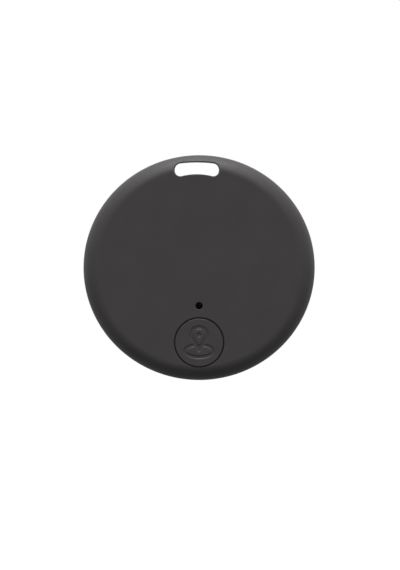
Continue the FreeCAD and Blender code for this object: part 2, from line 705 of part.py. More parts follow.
def test_pads():
    """Row of round gold pads used to program the board, and the cell's pads."""
    y = (BOARD_REAR, BOARD_REAR + 0.04)
    pads = [disc(0.5, *y, -3.6 + 1.4 * i, -13.9) for i in range(6)]
    pads += [disc(0.45, *y, -12.4 + 1.15 * i, -10.4 - 0.5 * i) for i in range(2)]
    return group(pads)


def chip_package(size_x, size_z, height, x, z, degrees=0.0):
    """Square chip on the rear of the board with a marked first pin."""
    half_x, half_z = size_x / 2, size_z / 2
    rear = BOARD_REAR + height
    body = block((-half_x, half_x), (BOARD_REAR + 0.02, rear), (-half_z, half_z))
    body = body.makeChamfer(0.06, [e for e in body.Edges if e.BoundBox.YMin > rear - 0.01])
    mark = disc(0.25, rear - 0.06, rear + 1, half_x - 0.6, half_z - 0.6)
    return turned_about_y(body.cut(mark), degrees, x, z)


def bluetooth_chip():
    """Radio and processor in one flat package."""
    return chip_package(4.0, 4.0, 0.85, -14.1, 1.5)


def crystal_base():
    """Ceramic base of the clock crystal."""
    base = block((-1.25, 1.25), (BOARD_REAR, BOARD_REAR + 0.4), (-1.6, 1.6))
    return turned_about_y(base, -14, -14.4, -3.2)


def crystal_lid():
    """Metal lid of the clock crystal."""
    lid = block((-1.1, 1.1), (BOARD_REAR + 0.4, BOARD_REAR + 0.7), (-1.45, 1.45))
    lid = lid.makeFillet(0.15, [e for e in lid.Edges if e.BoundBox.YLength > 0.2])
    return turned_about_y(lid, -14, -14.4, -3.2)


def passive(height, x, z, degrees):
    """Body and two end caps of a small chip component lying along its own X."""
    body = block((-0.5, 0.5), (BOARD_REAR + 0.02, BOARD_REAR + height), (-0.4, 0.4))
    ends = []
    for side in (-1, 1):
        x_range = sorted((side * 0.5, side * 0.8))
        ends.append(block(x_range, (BOARD_REAR, BOARD_REAR + height + 0.02), (-0.41, 0.41)))
    return [turned_about_y(piece, degrees, x, z) for piece in (body, *ends)]


def capacitor_bodies():
    """Ceramic bodies of the chip capacitors."""
    return group([passive(CAPACITOR_HEIGHT, *place)[0] for place in CAPACITOR_PLACES])


def resistor_bodies():
    """Bodies of the chip resistors."""
    return group([passive(RESISTOR_HEIGHT, *place)[0] for place in RESISTOR_PLACES])


def component_end_caps():
    """Tinned end caps of the chip capacitors and resistors."""
    ends = []
    for height, places in ((CAPACITOR_HEIGHT, CAPACITOR_PLACES), (RESISTOR_HEIGHT, RESISTOR_PLACES)):
        for place in places:
            ends += passive(height, *place)[1:]
    return group(ends)


def boost_inductor():
    """Wound coil on the front of the board that lifts the buzzer's voltage."""
    x, z, height = 12.6, -2.4, 1.1
    lower = BOARD_FRONT
    body = block((-1.5, 1.5), (lower - height, lower), (-1.5, 1.5))
    body = body.makeChamfer(0.35, [e for e in body.Edges if e.BoundBox.YLength > height - 0.01])
    waist = ring(3, 1.25, lower - height + 0.3, lower - 0.3)
    return turned_about_y(body.cut(waist), 0, x, z)


def drive_transistor():
    """Three-legged transistor that switches the buzzer."""
    lower = BOARD_FRONT
    body = block((-0.65, 0.65), (lower - 1.0, lower - 0.1), (-1.45, 1.45))
    body = body.makeChamfer(0.1, [e for e in body.Edges if e.BoundBox.YMax < lower - 0.99])
    return turned_about_y(body, 0, *TRANSISTOR_PLACE)


def transistor_legs():
    """The transistor's three soldered legs."""
    x, middle = TRANSISTOR_PLACE
    high, low = BOARD_FRONT - 0.5, BOARD_FRONT - 0.06
    legs = []
    for side, z in ((-1, -0.95), (-1, 0.95), (1, 0.0)):
        path = [(side * out, y) for out, y in ((0.65, high), (0.9, high), (0.95, low), (1.25, low))]
        legs.append(turned_about_y(bent_strip(path, 0.12, 0.4), 0, x, middle + z))
    return group(legs)


PIECES = (
    front_shell,
    rear_cover,
    button_cap,
    sound_mesh,
    buzzer_tape_ring,
    buzzer_plate,
    buzzer_ceramic,
    buzzer_contacts,
    circuit_board,
    board_screws,
    antenna_trace,
    test_pads,
    bluetooth_chip,
    crystal_base,
    crystal_lid,
    capacitor_bodies,
    resistor_bodies,
    component_end_caps,
    boost_inductor,
    drive_transistor,
    transistor_legs,
    switch_base,
    switch_frame,
    switch_plunger,
    switch_dome,
    switch_terminals,
    cell_can,
    cell_gasket,
    cell_cap,
    cell_core,
    cell_cradle,
    positive_contact,
    negative_contact,
)


def main():
    """Builds every piece and writes one STEP file for each."""
    os.makedirs("parts", exist_ok=True)
    for build in PIECES:
        shape = build()
        solids = len(shape.Solids)
        if not shape.isValid() or solids == 0:
            raise ValueError(f"{build.__name__} is not a valid solid")
        shape.exportStep(f"parts/{build.__name__}.step")
        print(f"{build.__name__}: {solids} solid(s), {shape.Volume:.2f} mm3")


main()
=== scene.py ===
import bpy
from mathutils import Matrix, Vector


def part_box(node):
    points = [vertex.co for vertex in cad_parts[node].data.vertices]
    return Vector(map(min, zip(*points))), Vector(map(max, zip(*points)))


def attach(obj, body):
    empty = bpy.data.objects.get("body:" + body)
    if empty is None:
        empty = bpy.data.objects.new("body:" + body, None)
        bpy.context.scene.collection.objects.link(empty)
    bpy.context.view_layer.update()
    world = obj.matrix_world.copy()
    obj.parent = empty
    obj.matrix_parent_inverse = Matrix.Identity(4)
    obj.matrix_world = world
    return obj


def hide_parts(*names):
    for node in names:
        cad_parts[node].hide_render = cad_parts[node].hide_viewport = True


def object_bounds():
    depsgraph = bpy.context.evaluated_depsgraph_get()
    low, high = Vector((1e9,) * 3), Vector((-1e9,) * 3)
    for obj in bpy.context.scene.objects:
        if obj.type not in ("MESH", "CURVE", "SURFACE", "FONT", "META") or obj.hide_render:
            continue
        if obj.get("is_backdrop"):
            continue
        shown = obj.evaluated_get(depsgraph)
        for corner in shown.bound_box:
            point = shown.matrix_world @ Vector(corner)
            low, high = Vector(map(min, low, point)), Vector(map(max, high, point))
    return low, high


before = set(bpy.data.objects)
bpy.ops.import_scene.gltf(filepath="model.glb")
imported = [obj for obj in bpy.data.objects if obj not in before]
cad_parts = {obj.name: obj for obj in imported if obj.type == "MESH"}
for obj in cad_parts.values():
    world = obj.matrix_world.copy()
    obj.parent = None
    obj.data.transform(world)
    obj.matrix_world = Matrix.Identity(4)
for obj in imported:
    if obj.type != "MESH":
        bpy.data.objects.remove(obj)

"""Looks of the bluetooth tracker tag: finishes for every piece, and fine meshes for the button and the board.

Everything is in metres in the model's own frame: +Z up to the key-ring slot, -Y out of the button face. Sizes
in the classes are in millimetres, as they are on the drawing, and are turned to metres when a mesh is made.
"""

import logging
import math
from dataclasses import dataclass, field
from enum import Enum
from typing import Callable, Iterable, Sequence

import bpy
import numpy as np
from mathutils import Vector

MM = 0.001
LOG = logging.getLogger("tracker_tag")
Points = np.ndarray
Faces = list[tuple[int, ...]]
PlanPoint = tuple[float, float]
# A wave texture makes 10 / pi bands per unit at scale 1; times this, its scale is in bands per unit.
WAVE_SCALE = math.pi / 10
# A direction that no bar drawn here runs along, to start a bar's section from.
ASKEW = Vector((0.31, 0.42, 0.85))


class Body(Enum):
    """The moving groups that the pieces drawn here ride on."""

    CASE = "case"
    BUTTON = "button"


# --- finishes -------------------------------------------------------------------------------------


def linear(hex_colour: str) -> tuple[float, float, float, float]:
    """Turn an sRGB hex colour to the linear one that shaders use.

    Args:
        hex_colour: six hex digits after a hash sign.

    Returns:
        Linear red, green and blue, and full alpha.
    """
    parts = [int(hex_colour[i : i + 2], 16) / 255 for i in (1, 3, 5)]
    red, green, blue = [c / 12.92 if c <= 0.04045 else ((c + 0.055) / 1.055) ** 2.4 for c in parts]
    return red, green, blue, 1.0


def per_metre(size_mm: float) -> float:
    """Pattern scale, in repeats per metre, of a feature of this size in millimetres."""
    return 1 / (size_mm * MM)


def add_node(
    tree: bpy.types.NodeTree, kind: str, inputs: dict | None = None, **settings: object
) -> bpy.types.Node:
    """Add a shader node, set it up and link it.

    Args:
        tree: node tree to add to.
        kind: the node's type name.
        inputs: input name or number to a plain value, or to an output socket to link from.
        **settings: attributes of the node.

    Returns:
        The new node.
    """
    node = tree.nodes.new(kind)
    for name, value in settings.items():
        setattr(node, name, value)
    for key, value in (inputs or {}).items():
        if isinstance(value, bpy.types.NodeSocket):
            tree.links.new(value, node.inputs[key])
        else:
            node.inputs[key].default_value = value
    return node


def set_ramp(ramp: bpy.types.ColorRamp, stops: Sequence[tuple[float, tuple]]) -> None:
    """Give a colour ramp its stops.

    Args:
        ramp: the ramp to fill.
        stops: position and linear colour of each stop, from low to high.
    """
    while len(ramp.elements) < len(stops):
        ramp.elements.new(1.0)
    for element, (position, colour) in zip(ramp.elements, stops):
        element.position = position
        element.color = colour


@dataclass(frozen=True)
class Finish:
    """A surface finish: base colour with mottling, and a fine relief that breaks up the gloss.

    Attributes:
        name: what the material is and how it was made.
        colour: main sRGB hex colour.
        shade: sRGB hex colour of its darker patches.
        roughness: mean roughness.
        spread: how far the roughness wanders either way.
        mottle_mm: size of the patches of colour and gloss.
        grain_mm: size of the surface relief.
        relief_mm: height of the surface relief.
        metallic: 1 for a metal.
        ior: index of refraction; metals keep the default.
        stretch: how much longer the relief is along X, Y and Z than across.
        sheen: share of soft sheen, for coated and fibrous surfaces.
        coat: share of clear coat.
    """

    name: str
    colour: str
    shade: str
    roughness: float
    spread: float = 0.06
    mottle_mm: float = 3.0
    grain_mm: float = 0.2
    relief_mm: float = 0.003
    metallic: float = 0.0
    ior: float = 1.5
    stretch: tuple[float, float, float] = (1.0, 1.0, 1.0)
    sheen: float = 0.0
    coat: float = 0.0

    def colour_socket(self, tree: bpy.types.NodeTree, place: bpy.types.NodeSocket) -> bpy.types.NodeSocket:
        """Mottled base colour.

        Args:
            tree: the material's node tree.
            place: surface position in metres.

        Returns:
            The colour output.
        """
        mottle = add_node(
            tree, "ShaderNodeTexNoise", {"Vector": place, "Scale": per_metre(self.mottle_mm), "Detail": 3.0}
        )
        ramp = add_node(tree, "ShaderNodeValToRGB", {"Fac": mottle.outputs["Fac"]})
        set_ramp(ramp.color_ramp, [(0.3, linear(self.shade)), (0.62, linear(self.colour))])
        return ramp.outputs["Color"]

    def height_socket(self, tree: bpy.types.NodeTree, place: bpy.types.NodeSocket) -> bpy.types.NodeSocket:
        """Height of the relief, from 0 to 1, with the same arguments and return as colour_socket."""
        scale = add_node(
            tree,
            "ShaderNodeMapping",
            {"Vector": place, "Scale": tuple(per_metre(self.grain_mm * s) for s in self.stretch)},
        )
        grain = add_node(
            tree, "ShaderNodeTexNoise", {"Vector": scale.outputs[0], "Scale": 1.0, "Detail": 2.0}
        )
        return grain.outputs["Fac"]

    def build(self) -> bpy.types.Material:
        """The material, made once and then shared."""
        existing = bpy.data.materials.get(self.name)
        if existing:
            return existing
        material = bpy.data.materials.new(self.name)
        material.use_nodes = True
        material.diffuse_color = linear(self.colour)
        tree = material.node_tree
        tree.nodes.clear()
        place = add_node(tree, "ShaderNodeTexCoord").outputs["Object"]
        gloss = add_node(
            tree,
            "ShaderNodeTexNoise",
            {"Vector": place, "Scale": per_metre(self.mottle_mm * 0.6), "Detail": 4.0},
        )
        rough = add_node(
            tree,
            "ShaderNodeMapRange",
            {
                "Value": gloss.outputs["Fac"],
                "From Min": 0.25,
                "From Max": 0.75,
                "To Min": self.roughness - self.spread,
                "To Max": self.roughness + self.spread,
            },
        )
        bump = add_node(
            tree,
            "ShaderNodeBump",
            {"Height": self.height_socket(tree, place), "Distance": self.relief_mm * MM, "Strength": 1.0},
        )
        shader = add_node(
            tree,
            "ShaderNodeBsdfPrincipled",
            {
                "Base Color": self.colour_socket(tree, place),
                "Metallic": self.metallic,
                "Roughness": rough.outputs["Result"],
                "IOR": self.ior,
                "Normal": bump.outputs["Normal"],
                "Sheen Weight": self.sheen,
                "Sheen Roughness": 0.4,
                "Coat Weight": self.coat,
                "Coat Roughness": 0.15,
            },
        )
        add_node(tree, "ShaderNodeOutputMaterial", {"Surface": shader.outputs[0]})
        return material


@dataclass(frozen=True)
class TexturedMoulding(Finish):
    """Moulded plastic with the pitted texture of a spark-eroded mould under the soft-touch coat."""

    def height_socket(self, tree: bpy.types.NodeTree, place: bpy.types.NodeSocket) -> bpy.types.NodeSocket:
        """Rounded pits with finer noise over them."""
        pits = add_node(
            tree,
            "ShaderNodeTexVoronoi",
            {"Vector": place, "Scale": per_metre(self.grain_mm), "Smoothness": 0.6},
            feature="SMOOTH_F1",
        )
        fine = super().height_socket(tree, place)
        mixed = add_node(tree, "ShaderNodeMath", {0: pits.outputs["Distance"], 1: fine}, operation="ADD")
        return mixed.outputs[0]


@dataclass(frozen=True)
class BoardLaminate(Finish):
    """Solder mask over copper on the faces, bare glass laminate on the cut edges.

    Attributes:
        edge_colour: sRGB hex colour of the cut laminate.
        edge_shade: sRGB hex colour of the resin between its layers.
        copper_colour: sRGB hex colour of the mask where copper lies under it.
        hatch_mm: pitch of the hatched ground copper.
        cloth_mm: thickness of a layer of glass cloth.
    """

    edge_colour: str = "#B9A76A"
    edge_shade: str = "#8C7A42"
    copper_colour: str = "#1F6A42"
    hatch_mm: float = 0.9
    cloth_mm: float = 0.2

    def colour_socket(self, tree: bpy.types.NodeTree, place: bpy.types.NodeSocket) -> bpy.types.NodeSocket:
        """Hatched copper under the mask, and layered glass cloth where the board was cut."""
        turned = add_node(
            tree, "ShaderNodeMapping", {"Vector": place, "Rotation": (0.0, math.radians(45), 0.0)}
        )
        lines = []
        for direction in ("X", "Z"):
            wave = add_node(
                tree,
                "ShaderNodeTexWave",
                {"Vector": turned.outputs[0], "Scale": per_metre(self.hatch_mm) * WAVE_SCALE},
                bands_direction=direction,
            )
            lines.append(wave.outputs["Fac"])
        hatch = add_node(tree, "ShaderNodeMath", {0: lines[0], 1: lines[1]}, operation="MAXIMUM")
        copper = add_node(tree, "ShaderNodeValToRGB", {"Fac": hatch.outputs[0]})
        set_ramp(copper.color_ramp, [(0.78, linear(self.colour)), (0.84, linear(self.copper_colour))])
        layers = add_node(
            tree,
            "ShaderNodeTexWave",
            {
                "Vector": place,
                "Scale": per_metre(self.cloth_mm) * WAVE_SCALE,
                "Distortion": 1.5,
                "Detail": 2.0,
            },
            bands_direction="Y",
        )
        edge = add_node(tree, "ShaderNodeValToRGB", {"Fac": layers.outputs["Fac"]})
        set_ramp(edge.color_ramp, [(0.2, linear(self.edge_shade)), (0.8, linear(self.edge_colour))])
        normal = add_node(tree, "ShaderNodeNewGeometry").outputs["True Normal"]
        facing = add_node(tree, "ShaderNodeSeparateXYZ", {"Vector": normal}).outputs["Y"]
        flatness = add_node(tree, "ShaderNodeMath", {0: facing}, operation="ABSOLUTE")
        is_face = add_node(tree, "ShaderNodeMath", {0: flatness.outputs[0], 1: 0.5}, operation="GREATER_THAN")
        mixed = add_node(
            tree,
            "ShaderNodeMix",
            {0: is_face.outputs[0], 6: edge.outputs["Color"], 7: copper.outputs["Color"]},
            data_type="RGBA",
        )
        return mixed.outputs[2]


# Soft-touch lacquer over moulded ABS: an even charcoal with a velvety edge and no mirror highlights. The
# pits of the real texture are about 0.03 mm; they are drawn 0.12 mm wide so that they show at all.
SOFT_TOUCH_ABS = TexturedMoulding(
    "Soft-touch lacquer on moulded ABS", "#413E3F", "#3E3B3C", 0.52, 0.05, 6.0, 0.12, 0.0022,
    ior=1.49, sheen=0.05,
)
# Same lacquer on the button, worn a little smoother by fingertips.
WORN_SOFT_TOUCH_ABS = TexturedMoulding(
    "Soft-touch lacquer on moulded ABS, finger worn", "#413E3F", "#3E3B3C", 0.4, 0.05, 2.0, 0.12, 0.0018,
    ior=1.49, sheen=0.05,
)
# Glass-filled nylon, moulded: near black, with pale glass fibres just under the skin that give it a
# streaky sheen.
GLASS_FILLED_NYLON = Finish(
    "Moulded glass-filled nylon", "#232325", "#161618", 0.45, 0.12, 1.0, 0.08, 0.003,
    ior=1.53, stretch=(1, 1, 5),
)
# Epoxy moulding compound, transfer moulded: a fine matt grit of silica filler.
MOULDED_EPOXY = Finish("Moulded epoxy compound", "#262628", "#1B1B1D", 0.6, 0.05, 0.7, 0.06, 0.003, ior=1.55)
# Solder mask over hatched copper: glassy green, darker where there is no copper.
SOLDER_MASK = BoardLaminate(
    "Screen-printed solder mask on glass laminate", "#0E4A2C", "#0B3D25", 0.3, 0.08, 2.0, 0.15, 0.002,
    ior=1.52, coat=0.3,
)
# The same mask where a track lifts it.
MASKED_TRACK = Finish(
    "Solder mask over etched copper track", "#2A7F52", "#226B45", 0.28, 0.06, 1.0, 0.1, 0.001,
    ior=1.52, coat=0.3,
)
# Immersion gold on copper: pale warm gold, slightly satin from the etched copper below.
IMMERSION_GOLD = Finish(
    "Immersion gold on copper", "#E3BD6F", "#C79F55", 0.3, 0.08, 0.6, 0.06, 0.001, metallic=1.0
)
# Epoxy legend ink, screen printed: flat white with ragged fine edges.
LEGEND_INK = Finish("Screen-printed legend ink", "#E8E6DD", "#CFCDC2", 0.6, 0.05, 0.5, 0.06, 0.001, ior=1.5)
# Reflowed tin solder: bright, with dull frosted patches where it froze last.
REFLOWED_SOLDER = Finish(
    "Reflowed tin solder", "#C9CACB", "#9FA1A3", 0.26, 0.14, 0.35, 0.12, 0.004, metallic=1.0
)
# Nickel-plated steel, deep drawn: satin with faint drawing lines round the can and small scuffs.
DRAWN_NICKEL_STEEL = Finish(
    "Nickel-plated steel, deep drawn", "#C9C6BF", "#BFBCB4", 0.3, 0.05, 0.9, 0.05, 0.0012,
    metallic=1.0, stretch=(8, 1, 1),
)
# Spring steel strip, rolled and plated: long fine rolling lines.
ROLLED_SPRING_STEEL = Finish(
    "Rolled spring steel, gold flashed", "#D8C596", "#B9A471", 0.28, 0.08, 1.0, 0.04, 0.0012,
    metallic=1.0, stretch=(10, 1, 1),
)
# Zinc-plated steel, cold headed: a cool grey with a faint yellow and blue cast in patches.
ZINC_PLATED_STEEL = Finish(
    "Zinc-plated steel, cold headed", "#B9BDC2", "#A8A795", 0.32, 0.1, 0.5, 0.07, 0.002, metallic=1.0
)
# Tin-plated nickel silver, pressed: soft bright grey.
TINNED_LID = Finish(
    "Nickel-plated lid, pressed", "#CFCBC3", "#B5B1A9", 0.25, 0.08, 0.8, 0.05, 0.001,
    metallic=1.0, stretch=(6, 1, 1),
)
# Rolled brass sheet: yellow with straight rolling lines and a little tarnish.
ROLLED_BRASS = Finish(
    "Rolled brass sheet", "#D9B25C", "#A9823C", 0.3, 0.1, 3.0, 0.06, 0.0015, metallic=1.0, stretch=(12, 1, 1)
)
# Piezo ceramic with a fired silver electrode: matt, pale and slightly grainy.
SILVERED_CERAMIC = Finish(
    "Fired silver on piezo ceramic", "#D6D2C6", "#BDB8AB", 0.55, 0.08, 0.8, 0.07, 0.003, ior=1.6
)
# White alumina, pressed and fired: fine sugary grain.
FIRED_ALUMINA = Finish("Fired alumina ceramic", "#DAD6CB", "#C8C3B6", 0.5, 0.06, 0.5, 0.05, 0.002, ior=1.7)
# Barium titanate capacitor body: fired tan ceramic with darker flecks.
FIRED_TITANATE = Finish(
    "Fired titanate ceramic", "#A07C58", "#7F5F40", 0.48, 0.08, 0.25, 0.05, 0.002, ior=1.8
)
# Glass-overglazed resistor body: black and glossy.
GLAZED_RESISTOR = Finish(
    "Overglazed resistor glass", "#17181A", "#0D0E10", 0.22, 0.06, 0.4, 0.08, 0.002, ior=1.52
)
# Pressed ferrite: dull dark grey, with an open gritty grain.
PRESSED_FERRITE = Finish("Pressed ferrite", "#3A3A3C", "#29292B", 0.7, 0.06, 0.4, 0.07, 0.006, ior=1.6)
# Enamelled copper wire: red-brown copper under a clear amber lacquer.
ENAMELLED_COPPER = Finish(
    "Enamelled copper wire", "#B4623A", "#8E4526", 0.3, 0.06, 0.5, 0.06, 0.001, metallic=1.0, coat=0.4
)
# Moulded polypropylene seal: waxy, milky grey.
MOULDED_POLYPROPYLENE = Finish(
    "Moulded polypropylene", "#B9B8B2", "#A7A69F", 0.42, 0.05, 1.0, 0.1, 0.002, ior=1.49, sheen=0.05
)
# Pressed manganese dioxide: soot black and crumbly.
PRESSED_POWDER = Finish("Pressed cathode powder", "#2B2A2A", "#1B1A1A", 0.85, 0.05, 0.5, 0.08, 0.012, ior=1.5)
# Acrylic foam tape: matt black with closed cells.
FOAM_TAPE = Finish("Acrylic foam tape", "#2E2D2C", "#222120", 0.8, 0.05, 0.4, 0.09, 0.01, ior=1.47)
# Black polyester monofilament, woven: smooth threads that catch small lights.
BLACK_MONOFILAMENT = Finish(
    "Woven polyester monofilament", "#0E0E0F", "#090909", 0.4, 0.06, 0.1, 0.03, 0.0006, ior=1.6, sheen=0.1
)
# Moulded acetal plunger: milky off-white with a low waxy shine.
MOULDED_ACETAL = Finish("Moulded acetal", "#D7D4CC", "#CBC8BF", 0.38, 0.05, 0.8, 0.08, 0.0015, ior=1.48)


# --- meshes ---------------------------------------------------------------------------------------


def make_piece(
    name: str,
    points: Iterable[Sequence[float]],
    faces: Faces,
    finish: Finish,
    body: Body,
    slot: str,
    replaces: Sequence[str] = (),
    crease_deg: float = 35.0,
) -> bpy.types.Object:
    """Make a mesh piece from points in millimetres and fix it to a body.

    Args:
        name: the piece's name.
        points: corners, in millimetres, in the model's frame.
        faces: corner numbers of each face.
        finish: its material.
        body: what it rides on.
        slot: the record's material slot it belongs to; not used.
        replaces: model nodes that it stands for.
        crease_deg: edges sharper than this stay crisp.

    Returns:
        The new object.
    """
    mesh = bpy.data.meshes.new(name)
    mesh.from_pydata([tuple(c * MM for c in p) for p in points], [], faces)
    mesh.validate()
    mesh.materials.append(finish.build())
    mesh.shade_smooth()
    mesh.set_sharp_from_angle(angle=math.radians(crease_deg))
    piece = bpy.data.objects.new(name, mesh)
    bpy.context.scene.collection.objects.link(piece)
    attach(piece, body.value)
    if replaces:
        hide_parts(*replaces)
    return piece


def dress_nodes(finishes: dict[str, Finish]) -> None:
    """Give model nodes their finish.

    Args:
        finishes: node name to finish.
    """
    for node, finish in finishes.items():
        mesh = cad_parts[node].data
        mesh.materials.clear()
        mesh.materials.append(finish.build())


def neighbours(count: int, closed: bool) -> list[tuple[int, int]]:
    """Each number below count with the next one, and the last with the first if closed."""
    return [(i, (i + 1) % count) for i in range(count if closed else count - 1)]


def grid_faces(rows: int, columns: int, loop_rows: bool = False, loop_columns: bool = False) -> Faces:
    """Four-cornered faces over points laid out row by row.

    Args:
        rows: number of rows.
        columns: points in each row.
        loop_rows: whether the last row joins the first.
        loop_columns: whether each row's last point joins its first.

    Returns:
        Corner numbers of each face.
    """
    return [
        (i * columns + j, i * columns + k, m * columns + k, m * columns + j)
        for i, m in neighbours(rows, loop_rows)
        for j, k in neighbours(columns, loop_columns)
    ]


@dataclass
class MeshPile:
    """Points and faces of one piece, gathered part by part.

    Attributes:
        points: corners in millimetres.
        faces: corner numbers of each face.
    """

    points: list[tuple[float, ...]] = field(default_factory=list)
    faces: Faces = field(default_factory=list)

    def add(self, points: Iterable[Sequence[float]], faces: Faces) -> None:
        """Add a part.

        Args:
            points: its corners.
            faces: its faces, numbered from its own first corner.
        """
        start = len(self.points)
        self.points += [tuple(p) for p in points]
        self.faces += [tuple(start + i for i in face) for face in faces]

    def add_tube(self, path: Points, radius: float, sides: int = 8) -> None:
        """Add a round bar along a path.

        Args:
            path: centre points, one row each.
            radius: radius of the bar.
            sides: number of sides of its section.
        """
        runs = np.gradient(path, axis=0)
        runs /= np.linalg.norm(runs, axis=1)[:, None]
        side = np.cross(runs, ASKEW)
        side /= np.linalg.norm(side, axis=1)[:, None]
        other = np.cross(runs, side)
        turns = np.arange(sides) * 2 * math.pi / sides
        rings = [path + radius * (math.cos(t) * side + math.sin(t) * other) for t in turns]
        count = len(path)
        faces = grid_faces(sides, count, loop_rows=True)
        faces.append(tuple(i * count for i in range(sides)))
        faces.append(tuple(i * count + count - 1 for i in reversed(range(sides))))
        self.add(np.concatenate(rings), faces)

    def add_ribbon(self, route: Sequence[PlanPoint], width: float, low: float, high: float) -> None:
        """Add a flat track along a route with mitred bends.

        Args:
            route: (x, z) points.
            width: its width.
            low: y of its underside.
            high: y of its top.
        """
        plan = np.array(route, float)
        runs = np.diff(plan, axis=0)
        runs /= np.linalg.norm(runs, axis=1)[:, None]
        sides = np.column_stack([-runs[:, 1], runs[:, 0]])
        offsets = [sides[0]]
        for before, after in zip(sides, sides[1:]):
            middle = (before + after) / np.linalg.norm(before + after)
            offsets.append(middle / middle.dot(after))
        offsets.append(sides[-1])
        reach = np.array(offsets) * width / 2
        rows = [(plan + reach, low), (plan + reach, high), (plan - reach, high), (plan - reach, low)]
        count = len(plan)
        points = [(x, y, z) for row, y in rows for x, z in row]
        faces = grid_faces(4, count, loop_rows=True)
        faces.append(tuple(i * count for i in range(4)))
        faces.append(tuple(i * count + count - 1 for i in reversed(range(4))))
        self.add(points, faces)

    def piece(self, name: str, finish: Finish, body: Body, slot: str, **options: object) -> bpy.types.Object:
        """The pile as one piece; the options are those of make_piece."""
        return make_piece(name, self.points, self.faces, finish, body, slot, **options)


# --- sub-assemblies -------------------------------------------------------------------------------


@dataclass
class Case:
    """Front shell and rear cover: two moulded half pebbles under one soft-touch lacquer."""

    def dress(self) -> None:
        """Finish both halves."""
        dress_nodes({"front_shell": SOFT_TOUCH_ABS, "rear_cover": SOFT_TOUCH_ABS})


